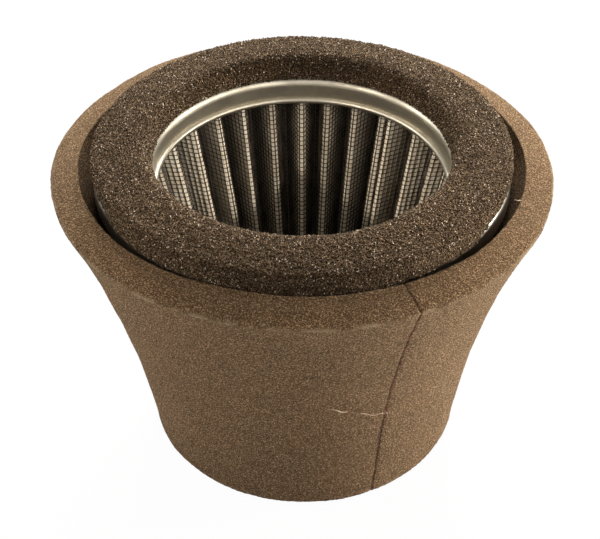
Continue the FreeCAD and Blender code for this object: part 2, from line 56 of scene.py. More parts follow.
# %% [markdown]
# ## Camera
# A product of this size is usually taken from about an arm's length with a short telephoto lens,
# looking down into the mouth. The camera stands on the -Y side and looks at a point on the axis
# a little above half height. The small shift puts the axis where it stands in the frame.

# %% Camera
CAMERA_ELEVATION = math.radians(38.6)
CAMERA_DISTANCE = 0.450
CAMERA_TARGET = Vector((0.0, 0.0, 0.0458))
CAMERA_LENS = 105.21
CAMERA_SHIFT = -1 / 300        # share of the frame's width

away = Vector((0.0, -math.cos(CAMERA_ELEVATION), math.sin(CAMERA_ELEVATION)))
camera_data = bpy.data.cameras.new("camera")
camera_data.lens = CAMERA_LENS
camera_data.sensor_width = 36.0
camera_data.shift_x = CAMERA_SHIFT
camera_data.clip_start = 0.01
camera_data.dof.use_dof = False
camera = bpy.data.objects.new("camera", camera_data)
camera.location = CAMERA_TARGET + away * CAMERA_DISTANCE
camera.rotation_euler = away.to_track_quat("Z", "Y").to_euler()
bpy.context.scene.collection.objects.link(camera)
bpy.context.scene.camera = camera
print("camera at", [round(v, 3) for v in camera.location])

# %% [markdown]
# ## Helpers for node trees
# A material or a Geometry Nodes tree is a set of nodes and the links between them. Two short
# helpers keep the trees below readable: one adds a node and sets its values, the other links.

# %% Node helpers
def add_node(tree, kind, settings=(), **inputs):
    """A node of that kind. Inputs are given by name: a socket is linked, a value is set."""
    node = tree.nodes.new(kind)
    for key, value in dict(settings).items():
        setattr(node, key, value)
    for name, value in inputs.items():
        feed(tree, node.inputs[name.replace("_", " ")], value)
    return node


def feed(tree, socket, value):
    if isinstance(value, bpy.types.NodeSocket):
        tree.links.new(value, socket)
    else:
        socket.default_value = value


def math_node(tree, operation, *values):
    node = tree.nodes.new("ShaderNodeMath")
    node.operation = operation
    for socket, value in zip(node.inputs, values):
        feed(tree, socket, value)
    return node.outputs[0]


def scaled(tree, vector, factor):
    """A vector times a number or a number's socket."""
    node = tree.nodes.new("ShaderNodeVectorMath")
    node.operation = "SCALE"
    feed(tree, node.inputs[0], vector)
    feed(tree, node.inputs["Scale"], factor)
    return node.outputs[0]


def ramp(tree, value, low, high, low_out=0.0, high_out=1.0):
    """A smooth step from low_out to high_out while value goes from low to high."""
    node = tree.nodes.new("ShaderNodeMapRange")
    node.interpolation_type = "SMOOTHSTEP"
    numbers = (value, low, high, low_out, high_out)
    for name, number in zip(("Value", "From Min", "From Max", "To Min", "To Max"), numbers):
        feed(tree, node.inputs[name], number)
    return node.outputs["Result"]


def mix_colours(tree, share, first, second, blend="MIX"):
    node = tree.nodes.new("ShaderNodeMix")
    node.data_type = "RGBA"
    node.blend_type = blend
    node.clamp_factor = True
    feed(tree, node.inputs["Factor"], share)
    for name, colour in (("A", first), ("B", second)):
        socket = next(s for s in node.inputs if s.name == name and s.type == "RGBA")
        feed(tree, socket, colour)
    return next(s for s in node.outputs if s.type == "RGBA")


def new_material(name):
    """A material, its tree and its Principled shader."""
    material = bpy.data.materials.new(name)
    material.use_nodes = True
    tree = material.node_tree
    return material, tree, tree.nodes["Principled BSDF"]


def bump(tree, shader, height, distance, strength=1.0):
    node = add_node(tree, "ShaderNodeBump", Strength=strength, Distance=distance, Height=height)
    tree.links.new(node.outputs["Normal"], shader.inputs["Normal"])


def noise(tree, place, size, detail=3.0, roughness=0.5):
    """Cloudy noise whose blobs are about `size` metres across."""
    node = add_node(tree, "ShaderNodeTexNoise", Vector=place, Scale=1 / size, Detail=detail,
                    Roughness=roughness)
    return node.outputs[0]


def cells(tree, place, size, feature="DISTANCE_TO_EDGE", output="Distance"):
    """Voronoi cells about `size` metres across."""
    node = add_node(tree, "ShaderNodeTexVoronoi", {"feature": feature}, Vector=place,
                    Scale=1 / size)
    return node.outputs[output]

# %% [markdown]
# ## Foam finish
# Filter foam is a net of thin struts round open cells. Under light it reads as dark pores in a
# paler net, with a few struts that happen to face the lamp and glint. The pores' darkness is
# painted shade in the base colour. A picture of foam would stretch over the flare, so the net is
# worked out from Voronoi cells in space. The same cells also move the mesh (next step), so each
# pore's painted shade lies in its own pit: the mesh keeps the place it had before it was moved in
# the attribute `foam_place`, and the material reads it. Two more attributes mark a painted
# highlight along the rim's outer edge (`foam_crease`) and painted shade on the
# inside (`foam_soaked`).

# %% Foam material
PORE_EDGE, PORE_MIDDLE = 0.02, 0.30     # distance from a strut, in cells, over which a pore falls
FINE_CELL_SHARE = 0.47
# painted highlight: colour of the pale line along the sleeve rim's outer edge
CREASE_HIGHLIGHT = (0.60, 0.46, 0.29, 1)
OIL_TINT = (0.95, 0.68, 0.46, 1)


def foam_material(name, strut, pore_shade, cell, tone_size, tone_low, glint, glint_share, glint_size,
                  roughness, sheen, sheen_tint, grain_size, grain_lift, light_strut, relief):
    """Foam of a cell size: pores in painted shade, struts, a grain of struts that catch the light,
    glints.
    """
    material, tree, shader = new_material(name)
    place = add_node(tree, "ShaderNodeAttribute", {"attribute_name": "foam_place"})
    place = place.outputs["Vector"]
    edge = cells(tree, place, cell)
    fine_edge = cells(tree, place, cell * FINE_CELL_SHARE)
    pit = ramp(tree, edge, PORE_EDGE, PORE_MIDDLE)
    fine_pit = ramp(tree, fine_edge, PORE_EDGE, 0.34)
    depth = math_node(tree, "MULTIPLY_ADD", fine_pit, 0.45, math_node(tree, "MULTIPLY", pit, 0.55))
    # painted shade: the pits take the dark pore colour, for the shade inside the open cells
    colour = mix_colours(tree, depth, strut, pore_shade)
    # painted shade: the sleeve's inside wall is darkened towards the pore colour and loses its
    # sheen
    inside_shade_input = add_node(tree, "ShaderNodeAttribute", {"attribute_name": "foam_soaked"})
    inside_shade = math_node(tree, "MULTIPLY", inside_shade_input.outputs["Fac"], 0.75)
    colour = mix_colours(tree, inside_shade, colour, pore_shade)
    tone = ramp(tree, noise(tree, place, tone_size, 4.0, 0.6), 0.34, 0.66, tone_low, 1.0)
    lit_strut = ramp(tree, noise(tree, place, grain_size, 2.0, 0.75), 0.47, 0.70)
    colour = mix_colours(tree, math_node(tree, "MULTIPLY", lit_strut, 0.45), colour, light_strut)
    grain = math_node(tree, "MULTIPLY_ADD", lit_strut, grain_lift, 1.0 - 0.4 * grain_lift)
    shade = math_node(tree, "MULTIPLY", tone, grain)
    shade_colour = add_node(tree, "ShaderNodeCombineColor", Red=shade, Green=shade, Blue=shade)
    colour = mix_colours(tree, 1.0, colour, shade_colour.outputs[0], "MULTIPLY")
    # painted highlight: a pale line in patches along the rim's outer edge, where it catches the
    # light
    crease = add_node(tree, "ShaderNodeAttribute", {"attribute_name": "foam_crease"})
    patchy = ramp(tree, noise(tree, place, 6 * MM), 0.40, 0.62, 0.12, 0.62)
    crease_highlight = math_node(tree, "MULTIPLY", crease.outputs["Fac"], patchy)
    colour = mix_colours(tree, crease_highlight, colour, CREASE_HIGHLIGHT)
    chance = cells(tree, place, glint_size, "F1", "Color")
    chance = add_node(tree, "ShaderNodeSeparateColor", Color=chance).outputs["Red"]
    near = cells(tree, place, glint_size, "F1", "Distance")
    lucky = math_node(tree, "GREATER_THAN", chance, 1.0 - glint_share)
    spark = math_node(tree, "MULTIPLY", lucky, ramp(tree, near, 0.25, 0.55, 1.0, 0.0))
    colour = mix_colours(tree, spark, colour, glint)
    tree.links.new(colour, shader.inputs["Base Color"])
    shine = ramp(tree, spark, 0.0, 1.0, roughness, 0.30)
    tree.links.new(shine, shader.inputs["Roughness"])
    shader.inputs["Specular IOR Level"].default_value = 0.07
    shader.inputs["Specular Tint"].default_value = OIL_TINT
    nap = math_node(tree, "MULTIPLY_ADD", lit_strut, 1.3 * grain_lift * sheen,
                    sheen * (1 - 0.3 * grain_lift))
    unshaded_share = math_node(tree, "SUBTRACT", 1.0, inside_shade)
    tree.links.new(math_node(tree, "MULTIPLY", nap, unshaded_share), shader.inputs["Sheen Weight"])
    shader.inputs["Sheen Roughness"].default_value = 0.45
    shader.inputs["Sheen Tint"].default_value = (*sheen_tint, 1.0)
    height = math_node(tree, "SUBTRACT", math_node(tree, "MULTIPLY", spark, 0.4), depth)
    bump(tree, shader, height, relief)
    return material


SLEEVE_CELL = 0.44 * MM
GASKET_CELL = 0.58 * MM
sleeve_finish = foam_material(
    "oiled_sleeve_foam", strut=(0.270, 0.138, 0.058, 1), pore_shade=(0.032, 0.016, 0.007, 1),
    cell=SLEEVE_CELL, tone_size=14 * MM, tone_low=0.82, glint=(0.36, 0.25, 0.14, 1),
    glint_share=0.05, glint_size=0.34 * MM, roughness=0.95, sheen=0.62,
    sheen_tint=(0.98, 0.71, 0.44), grain_size=0.37 * MM, grain_lift=1.5,
    light_strut=(0.33, 0.215, 0.120, 1), relief=0.25 * MM)
gasket_finish = foam_material(
    "coarse_sealing_foam", strut=(0.072, 0.036, 0.015, 1), pore_shade=(0.012, 0.006, 0.003, 1),
    cell=GASKET_CELL, tone_size=9 * MM, tone_low=0.85, glint=(1.0, 0.88, 0.74, 1),
    glint_share=0.045, glint_size=0.33 * MM, roughness=0.85, sheen=0.46,
    sheen_tint=(0.94, 0.69, 0.44), grain_size=0.38 * MM, grain_lift=1.9,
    light_strut=(0.128, 0.082, 0.046, 1), relief=0.35 * MM)
print("foam finishes:", sleeve_finish.name, gasket_finish.name)

# %% [markdown]
# ## Foam skin in Geometry Nodes
# The pits have to be real where the eye meets the edge of the foam, so a Geometry Nodes tree
# moves each vertex along its normal: gently, in lumps a centimetre across, because foam is cut
# and handled by hand, and sharply, cell by cell. Both foam pieces run through the same tree with
# their own sizes.

# %% Foam skin tree
def open_tree(name, inputs):
    """A Geometry Nodes tree with a mesh in, a mesh out, and the named inputs."""
    tree = bpy.data.node_groups.new(name, "GeometryNodeTree")
    tree.interface.new_socket("Geometry", in_out="INPUT", socket_type="NodeSocketGeometry")
    for label, kind in inputs:
        tree.interface.new_socket(label, in_out="INPUT", socket_type=kind)
    tree.interface.new_socket("Geometry", in_out="OUTPUT", socket_type="NodeSocketGeometry")
    return tree, tree.nodes.new("NodeGroupInput"), tree.nodes.new("NodeGroupOutput")


def close_tree(tree, start, end, geometry):
    """Ends a tree in Set Shade Smooth, Realize Instances and Set Material."""
    smooth = add_node(tree, "GeometryNodeSetShadeSmooth", Geometry=geometry)
    real = add_node(tree, "GeometryNodeRealizeInstances", Geometry=smooth.outputs[0])
    painted = add_node(tree, "GeometryNodeSetMaterial", Geometry=real.outputs[0],
                       Material=start.outputs["Finish"])
    tree.links.new(painted.outputs[0], end.inputs[0])


def grow(piece, tree, **settings):
    """Runs a tree on a piece and keeps the result as the piece's plain mesh."""
    modifier = piece.modifiers.new(tree.name, "NODES")
    modifier.node_group = tree
    for item in tree.interface.items_tree:
        label = item.name.replace(" ", "_")
        if item.in_out == "INPUT" and label in settings:
            modifier[item.identifier] = settings[label]
    depsgraph = bpy.context.evaluated_depsgraph_get()
    mesh = bpy.data.meshes.new_from_object(piece.evaluated_get(depsgraph), depsgraph=depsgraph,
                                           preserve_all_data_layers=True)
    piece.modifiers.remove(modifier)
    piece.data = mesh
    print(f"{piece.name}: {len(mesh.vertices)} vertices, {len(mesh.polygons)} faces")
    return piece


FLOAT = "NodeSocketFloat"
foam_tree, start, end = open_tree("foam_skin", [
    ("Cell Size", FLOAT), ("Cell Depth", FLOAT), ("Lump Size", FLOAT), ("Lump Height", FLOAT),
    ("Finish", "NodeSocketMaterial")])
place = foam_tree.nodes.new("GeometryNodeInputPosition").outputs[0]
normal = foam_tree.nodes.new("GeometryNodeInputNormal").outputs[0]
kept = add_node(foam_tree, "GeometryNodeStoreNamedAttribute",
                {"data_type": "FLOAT_VECTOR", "domain": "POINT"},
                Geometry=start.outputs["Geometry"], Name="foam_place", Value=place)
per_cell = math_node(foam_tree, "DIVIDE", 1.0, start.outputs["Cell Size"])
edge = add_node(foam_tree, "ShaderNodeTexVoronoi", {"feature": "DISTANCE_TO_EDGE"}, Vector=place,
                Scale=per_cell).outputs["Distance"]
pit = ramp(foam_tree, edge, PORE_EDGE, PORE_MIDDLE, 0.35, -0.65)
per_lump = math_node(foam_tree, "DIVIDE", 1.0, start.outputs["Lump Size"])
lump = add_node(foam_tree, "ShaderNodeTexNoise", Vector=place, Scale=per_lump,
                Detail=2.0).outputs[0]
lump = math_node(foam_tree, "SUBTRACT", lump, 0.5)
rise = math_node(foam_tree, "MULTIPLY_ADD", pit, start.outputs["Cell Depth"],
                 math_node(foam_tree, "MULTIPLY", lump, start.outputs["Lump Height"]))
moved = add_node(foam_tree, "GeometryNodeSetPosition", Geometry=kept.outputs[0],
                 Offset=scaled(foam_tree, normal, rise))
close_tree(foam_tree, start, end, moved.outputs[0])
print("foam skin tree has", len(foam_tree.nodes), "nodes")

# %% [markdown]
# ## Turned shapes that are not quite round
# Both foam pieces are rings: a closed outline carried round the axis. Revolving it with a
# modifier would give a perfect ring, and soft foam never is one, so the ring is written out as a
# grid of points whose outline can change with the angle. Rows are spaced closely where the foam
# is seen and widely where it is hidden.

# %% Ring builder
def outline_points(corners, spacing):
    """Points along a closed outline of (r, z) corners, in mm, with a spacing for each side."""
    points = []
    for (start_corner, end_corner), step in zip(zip(corners, corners[1:] + corners[:1]), spacing):
        length = math.dist(start_corner, end_corner)
        count = max(1, round(length / step))
        for number in range(count):
            t = number / count
            points.append([a + (b - a) * t for a, b in zip(start_corner, end_corner)])
    return np.array(points)


def ring_piece(name, points_at, angles):
    """A closed ring from points_at(angles) -> (rows, columns, 3) in metres."""
    grid = points_at(angles)
    rows, columns = grid.shape[:2]
    index = np.arange(rows * columns).reshape(rows, columns)
    up = np.roll(index, -1, 0)
    side = np.roll(index, -1, 1)
    corner = np.roll(up, -1, 1)
    faces = np.stack([index, side, corner, up], -1).reshape(-1, 4)
    return mesh_piece(name, grid.reshape(-1, 3), faces)


def mesh_piece(name, vertices, faces=(), edges=()):
    mesh = bpy.data.meshes.new(name)
    faces = faces.tolist() if isinstance(faces, np.ndarray) else list(faces)
    mesh.from_pydata(np.asarray(vertices).tolist(), list(edges), faces)
    mesh.update()
    piece = bpy.data.objects.new(name, mesh)
    bpy.context.scene.collection.objects.link(piece)
    return piece


def even_angles(columns):
    return np.arange(columns) * 2 * math.pi / columns


def with_fine_band(angles, centre, half_width, step):
    """The same angles with much closer ones about a centre."""
    away = np.abs(angle_gap(angles, centre)) > half_width
    band = centre + np.arange(-half_width, half_width + step / 2, step)
    return np.sort(np.concatenate([angles[away], band % (2 * math.pi)]))


def waves(angles, seed, orders, size):
    """A sum of a few waves round the ring, about `size` high."""
    rng = np.random.default_rng(seed)
    total = np.zeros_like(angles)
    for order in orders:
        total += rng.normal() / order ** 0.5 * np.cos(order * angles + rng.uniform(0, 2 * math.pi))
    return total * size / max(1.0, len(orders) ** 0.5)


def dent(values, centre, width):
    """A soft bump of height 1 at centre."""
    return np.exp(-((values - centre) / width) ** 2)


def angle_gap(angles, centre):
    return (angles - centre + math.pi) % (2 * math.pi) - math.pi

# %% [markdown]
# ## Pre-filter sleeve
# The sleeve is a sheet of fine foam, 8 mm thick, rolled into a flared tube and glued edge to
# edge. Its outline is a chain of corners: a straight foot round the narrow cap, a slow flare, and
# a rim cut square to the wall. Stretching it over the wide cap leaves the rim's inner edge
# slightly oval, and the glued seam pulls a furrow down the wall.

# %% Pre-filter sleeve
RIM_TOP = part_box("foam_sleeve")[1].z / MM
SEAM_ANGLE = math.radians(-64.3)
NICK_ANGLE = math.radians(-148.5)

CREASE = (61.3, 77.3)           # where the rim's face meets the outer wall
SLEEVE_COLUMNS = 680
LIP_OVAL = 1.2
LIP_TUCK = 1.3
NICK_DEPTH = 1.3
FOOT_LEAN = 0.6
FURROW_DEPTH = 0.50
FURROW_WIDTH = 0.26

OUTER_WALL = [(61.3, 77.2), (59.3, 73.0), (57.1, 68.0), (52.9, 57.0), (49.0, 45.0), (44.8, 30.0),
              (41.75, 15.0), (40.25, 6.5), (39.9, 3.2), (39.5, 1.8), (38.9, 0.9), (37.9, 0.25),
              (36.7, 0.0)]
INNER_WALL = [(31.6, 0.0), (31.15, 0.5), (31.15, 6.5), (35.2, 25.0), (41.3, 47.5), (50.7, 70.5),
              (53.4, 75.0), (54.4, 78.2), (54.7, RIM_TOP - 0.12)]
RIM_FACE = [(60.4, 77.75), (61.05, 77.55)]
sleeve_corners = INNER_WALL + RIM_FACE + OUTER_WALL
sleeve_steps = ([1.0] * 2 + [3.0, 3.0, 2.2, 0.8, 0.5, 0.4] + [0.4] * 3 + [0.5] * 3
                + [0.5] * 6 + [0.5, 0.5, 0.5, 0.6, 2.0] + [1.5] * 3)
sleeve_outline = outline_points(sleeve_corners, sleeve_steps)


def seam_wander(z):
    """How far the seam strays sideways at a height, in mm."""
    return 0.08 * np.sin(z * 0.13) + 0.05 * np.sin(z * 0.63 + 1.0)


def sleeve_points(angles):
    r = sleeve_outline[:, 0:1] + np.zeros_like(angles)
    z = sleeve_outline[:, 1:2] + np.zeros_like(angles)
    across = np.clip((z - 40) / 40, 0, 1)
    middle = 31.15 + 22.0 * np.clip(z / RIM_TOP, 0, 1) ** 1.15 + 3.5
    inside = r < middle
    # the rim's inner edge: open at the sides, close to the sealing ring at front and back
    lip = np.clip((z - 75) / 5, 0, 1)
    oval = np.cos(2 * angles)
    r = r + np.where(inside, lip * (LIP_OVAL * oval - LIP_TUCK), across * 0.15 * oval)
    # hand-cut edges wander a little
    r = r + across * waves(angles, 3, (2, 3, 5, 7), 0.28)
    z = z + np.clip((z - 70) / 7, 0, 1) * waves(angles, 4, (3, 4, 6, 9, 14), 0.22)
    gap = angle_gap(angles, SEAM_ANGLE) * np.maximum(r, 1.0)
    wander = seam_wander(z)
    furrow = 0.12 * dent(gap, wander, 1.2) + FURROW_DEPTH * dent(gap, wander, FURROW_WIDTH)
    outside = np.where(inside, 0.0, 1.0)
    r = r - furrow * outside * np.where(z > 77.4, 0.0, 1.0)
    z = z - furrow * np.where(z > 77.3, 0.8, 0.0)
    # a nick in the rim's outer edge
    from_edge = np.hypot(r - CREASE[0], z - CREASE[1])
    nick = dent(angle_gap(angles, NICK_ANGLE) * r, 0.0, 0.5) * dent(from_edge, 0.0, 1.5)
    r = r - NICK_DEPTH * nick * outside
    # the foot leans a little to one side of the cap it grips
    lean = outside * FOOT_LEAN * (1 - np.clip((z - 12) / 38, 0, 1))
    x = r * np.cos(angles) + lean
    return MM * np.stack([x, r * np.sin(angles), np.maximum(z, 0.05)], -1)


sleeve_angles = with_fine_band(even_angles(SLEEVE_COLUMNS), SEAM_ANGLE, 0.05, 0.0022)
sleeve_angles = with_fine_band(sleeve_angles, NICK_ANGLE, 0.03, 0.004)
sleeve = ring_piece("pre_filter_sleeve", sleeve_points, sleeve_angles)
# per row of the outline: a painted highlight along the rim's outer edge, painted shade on the
# inside wall
from_crease = np.hypot(*(sleeve_outline - CREASE).T)
is_inner = np.arange(len(sleeve_outline)) < np.argmax(sleeve_outline[:, 1])
for label, row_values in (("foam_crease", dent(from_crease, 0.0, 0.45)),
                          ("foam_soaked", is_inner & (sleeve_outline[:, 1] < RIM_TOP - 0.5))):
    attribute = sleeve.data.attributes.new(label, "FLOAT", "POINT")
    attribute.data.foreach_set("value", np.repeat(row_values.astype(float), len(sleeve_angles)))
grow(sleeve, foam_tree, Cell_Size=1.05 * MM, Cell_Depth=0.10 * MM, Lump_Size=11 * MM,
     Lump_Height=0.45 * MM, Finish=sleeve_finish)
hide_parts("foam_sleeve")
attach(sleeve, "prefilter")

# %% [markdown]
# ## Sealing ring
# The ring is cut from a sheet of much coarser foam and glued to the wide cap. It is soft: its
# inner edge is rounded over, its top falls away slightly towards the outside, and its cut edges
# are ragged by a cell or so.

# %% Sealing ring
ring_low, ring_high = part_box("gasket_ring")
RING_FOOT = ring_low.z / MM
RING_TOP = ring_high.z / MM
RING_OUTER = ring_high.x / MM
ring_corners = [
    (36.7, RING_FOOT), (36.8, RING_FOOT + 3.0), (37.4, RING_TOP - 1.5), (38.2, RING_TOP - 0.55),
    (39.3, RING_TOP - 0.05), (42.0, RING_TOP - 0.1), (49.6, RING_TOP - 1.35),
    (50.7, RING_TOP - 1.75), (RING_OUTER - 0.2, RING_TOP - 2.4), (51.0, RING_FOOT + 1.8),
    (50.95, RING_FOOT + 0.4), (50.6, RING_FOOT)]
ring_outline = outline_points(ring_corners, [0.3] * 11 + [2.0])
RING_SHIFT = (-0.15, 0.10)
RING_COLUMNS = 960
SKIRT_DROP = 1.9
SKIRT_REACH = 0.85
SKIRT_MIDDLE = math.radians(-93.5)
SKIRT_HALF_SPAN = 63            # degrees to either side of the middle


def ring_points(angles):
    r = ring_outline[:, 0:1] + np.zeros_like(angles)
    z = ring_outline[:, 1:2] + np.zeros_like(angles)
    high = np.clip((z - RING_FOOT) / (RING_TOP - RING_FOOT), 0, 1)
    inner = np.clip((44.0 - r) / 6, 0, 1)
    outer = np.clip((r - 45.0) / 6, 0, 1)
    r = r + inner * high * waves(angles, 11, (3, 5, 8, 13), 0.4)
    r = r + outer * high * waves(angles, 12, (2, 3, 5, 9, 15), 0.22)
    z = z + high * waves(angles, 13, (2, 3, 4, 7), 0.16)
    # at the front the ring has crept over the cap's edge and hangs against the sleeve
    front = np.abs(np.degrees(angle_gap(angles, SKIRT_MIDDLE)))
    front = np.clip((SKIRT_HALF_SPAN - front) / 9, 0, 1)
    skirt = front * np.clip((r - 50.7) / 0.2, 0, 1) * np.clip(1 - high * 3.2, 0, 1)
    z = z - SKIRT_DROP * skirt
    r = r + SKIRT_REACH * skirt
    r = r - 0.5 * front * inner * high
    x = r * np.cos(angles) + RING_SHIFT[0] * high
    y = r * np.sin(angles) + RING_SHIFT[1] * high
    return MM * np.stack([x, y, z], -1)


sealing_ring = ring_piece("sealing_ring", ring_points, even_angles(RING_COLUMNS))
grow(sealing_ring, foam_tree, Cell_Size=GASKET_CELL, Cell_Depth=0.45 * MM, Lump_Size=7 * MM,
     Lump_Height=0.45 * MM, Finish=gasket_finish)
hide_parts("gasket_ring")
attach(sealing_ring, "element")

# %% [markdown]
# ## Seam glue
# Contact glue squeezes out of the butt seam as a broken red-brown line, with a few hairs of it
# pulled across the wall. The line follows the furrow and is cut by chance into beads, so a list
# of small drops along the seam suits it better than one band. The foam's skin is uneven, so each
# drop is set by a ray cast onto the finished sleeve.

# %% Seam glue
def glue_finish(name, dark, light):
    material, tree, shader = new_material(name)
    place = add_node(tree, "ShaderNodeTexCoord").outputs["Object"]
    patch = ramp(tree, noise(tree, place, 1.6 * MM, 3.0, 0.6), 0.42, 0.62)
    colour = mix_colours(tree, patch, dark, light)
    tree.links.new(colour, shader.inputs["Base Color"])
    shader.inputs["Roughness"].default_value = 0.42
    bump(tree, shader, noise(tree, place, 0.4 * MM), 0.05 * MM)
    return material


finished_wall = BVHTree.FromPolygons([v.co for v in sleeve.data.vertices],
                                     [p.vertices for p in sleeve.data.polygons])


def wall_radius(z, angle):
    """Radius of the finished sleeve's outside at a height and an angle, in mm."""
    outward = Vector((math.cos(angle), math.sin(angle), 0))
    spot = finished_wall.ray_cast(MM * (90 * outward + Vector((0, 0, z))), -outward)[0]
    return math.hypot(spot.x, spot.y) / MM


def tube(path, radii, sides=6):
    """Vertices and faces of a closed tube along a path, in mm."""
    path = np.asarray(path, float)
    along = np.gradient(path, axis=0)
    along /= np.linalg.norm(along, axis=1, keepdims=True)
    side = np.cross(along, (0.31, 0.12, 0.94))
    side /= np.linalg.norm(side, axis=1, keepdims=True)
    over = np.cross(along, side)
    turn = np.arange(sides) * 2 * math.pi / sides
    rings = (path[:, None] + np.asarray(radii)[:, None, None]
             * (side[:, None] * np.cos(turn)[None, :, None]
                + over[:, None] * np.sin(turn)[None, :, None]))
    count = len(path)
    faces = []
    for ring in range(count - 1):
        for k in range(sides):
            a, b = ring * sides + k, ring * sides + (k + 1) % sides
            faces.append([a, a + sides, b + sides, b])
    first, last = count * sides, count * sides + 1
    vertices = np.vstack([rings.reshape(-1, 3), path[:1], path[-1:]])
    for k in range(sides):
        nxt = (k + 1) % sides
        faces.append([first, k, nxt])
        faces.append([last, (count - 1) * sides + nxt, (count - 1) * sides + k])
    return vertices, faces


def joined(parts):
    vertices, faces = [], []
    base = 0
    for part_vertices, part_faces in parts:
        vertices.append(part_vertices)
        faces += [[base + i for i in face] for face in part_faces]
        base += len(part_vertices)
    return np.vstack(vertices), faces


def on_wall(z, offset, lift, shoulder=0.0):
    """A point on the sleeve's outer wall: offset along the wall, lifted off it, in mm. With a
    shoulder it is level with the wall that far to either side of it."""
    nominal = 40 + 21 * z / 77
    angle = SEAM_ANGLE + offset / nominal
    radius = sum(wall_radius(z, angle + side * shoulder / nominal) for side in (-1, 1)) / 2
    return [(radius + lift) * math.cos(angle), (radius + lift) * math.sin(angle), z]


SEAM_FOOT, SEAM_HEAD = 1.5, 75.5
SHOULDER = 0.8                  # level foam on either side of the furrow
BEAD_SINK = 0.07
BEAD_RADIUS = 0.21
HAIR_RADIUS = 0.11
CURL_ANGLE = math.radians(-18.5)

rng = np.random.default_rng(21)
beads = []
z = SEAM_FOOT
while z < SEAM_HEAD:
    length = rng.uniform(1.2, 5.0)
    steps = np.linspace(z, min(z + length, 76.0), 7)
    path = [on_wall(h, seam_wander(h) + rng.normal(0, 0.06), -BEAD_SINK, SHOULDER)
            for h in steps]
    radii = BEAD_RADIUS * np.sin(np.linspace(0.25, math.pi - 0.25, 7)) * rng.uniform(0.6, 1.15)
    beads.append(tube(path, radii))
    z += length * rng.uniform(0.9, 1.35)
# along the rim's cut face
RIM_SLOPE = 0.375
RIM_FURROW = 0.75
for number in range(5):
    r0 = 55.6 + number * 1.1
    path = [[r * math.cos(SEAM_ANGLE), r * math.sin(SEAM_ANGLE),
             80.0 - (r - 54.5) * RIM_SLOPE - RIM_FURROW] for r in np.linspace(r0, r0 + 0.9, 5)]
    beads.append(tube(path, 0.2 * np.sin(np.linspace(0.3, math.pi - 0.3, 5))))
# hairs of glue pulled across the wall: height, start, reach along the wall and fall
hairs = []
for z0, start_offset, reach, fall in ((37.6, -7.6, 7.2, -3.0), (42.0, -16.5, 5.4, -2.6),
                                      (34.8, -0.4, 1.3, -0.4)):
    t = np.linspace(0, 1, 14)
    path = [on_wall(z0 + fall * s + 0.25 * math.sin(9 * s + z0), start_offset + reach * s,
                    0.12 + 0.35 * math.sin(math.pi * s)) for s in t]
    hairs.append(tube(path, np.full(14, HAIR_RADIUS), sides=5))
# a curl of thread caught on the rim
t = np.linspace(0, 1, 16)
curl_angle = CURL_ANGLE + 0.010 * np.cos(5.5 * t)
curl_radius = 52.9 + 1.7 * t
hairs.append(tube(np.stack([curl_radius * np.cos(curl_angle), curl_radius * np.sin(curl_angle),
                            RIM_TOP - 0.2 + 0.9 * np.sin(2.6 * t)], -1), np.full(16, 0.10), 5))
bead_count = sum(len(faces) for _, faces in beads)
bead_vertices, bead_faces = joined(beads + hairs)
seam_glue = mesh_piece("seam_glue", MM * bead_vertices, bead_faces)
seam_glue.data.materials.append(
    glue_finish("contact_glue", (0.085, 0.023, 0.009, 1), (0.33, 0.100, 0.030, 1)))
seam_glue.data.materials.append(
    glue_finish("dried_glue_hair", (0.42, 0.27, 0.16, 1), (0.66, 0.50, 0.36, 1)))
for number, face in enumerate(seam_glue.data.polygons):
    face.material_index = int(number >= bead_count)
seam_glue.data.polygons.foreach_set("use_smooth", [True] * len(seam_glue.data.polygons))
print("seam glue:", len(beads), "beads and", len(hairs), "hairs")
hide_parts("sleeve_seam_glue")
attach(seam_glue, "prefilter")

# %% [markdown]
# ## Line of the pleats
# The pack is one long strip: wire, paper and wire laid together and folded to and fro about
# inner and outer folds, thirty-one times round the cone, then clipped end to end. Seen from
# above it is a chain of straight flanks that run tangent into small round folds. One function
# gives that chain at any height and any depth in the strip, so the paper and both layers of
# wire come from the same line and can never cross. The folds are not evenly spaced: a pack is
# pulled into place by hand.

# %% Pleat line
PACK_FOOT, PACK_HEAD = (v.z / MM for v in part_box("filter_paper"))
FOLDS = 31
FOLD_RADIUS = 0.75
INNER_FOLDS = (21.0, 38.9)
OUTER_FOLDS = (28.35, 48.0)
HALF_PACK = 0.535
END_OFFSET = HALF_PACK + 0.125
CLIP_ROOM = 0.48
SEAM_SIDE = math.radians(54.4)

# how far, in degrees, folds stand from even spacing: (fold number, offset)
FOLD_OFFSETS = [(0, -0.1), (1, -0.2), (2, -0.4), (3, -2.0), (4, -1.7), (5, -1.6), (6, -2.2),
                (7, -1.7), (8, -1.2), (9, 0.2), (12, 1.0), (16, -0.8), (20, 0.9), (24, -1.0),
                (27, -2.6), (28, -2.1), (29, -1.2), (30, 0.1)]


def fold_angle(number):
    """Angle of inner fold `number`, which may be halfway between two, past the side seam."""
    beside = math.asin((FOLD_RADIUS + END_OFFSET) / (INNER_FOLDS[1] + FOLD_RADIUS))
    pitch = (2 * math.pi - 2 * beside) / (FOLDS - 1)
    numbers, offsets = zip(*FOLD_OFFSETS)
    return SEAM_SIDE + beside + number * pitch + math.radians(np.interp(number, numbers, offsets))


fold_rng = np.random.default_rng(5)
fold_depths = fold_rng.normal(0, 0.22, 2 * FOLDS)
fold_leans = np.radians(fold_rng.normal(0, 0.35, 2 * FOLDS))
fold_leans[[0, 1, -1, -2]] = 0
fold_depths[[0, 1, -1, -2]] = 0


def turned(vector, angle):
    c, s = math.cos(angle), math.sin(angle)
    return np.array([vector[0] * c - vector[1] * s, vector[0] * s + vector[1] * c])


def left_of(vector):
    return np.array([-vector[1], vector[0]])


def unit(vector):
    return vector / np.linalg.norm(vector)


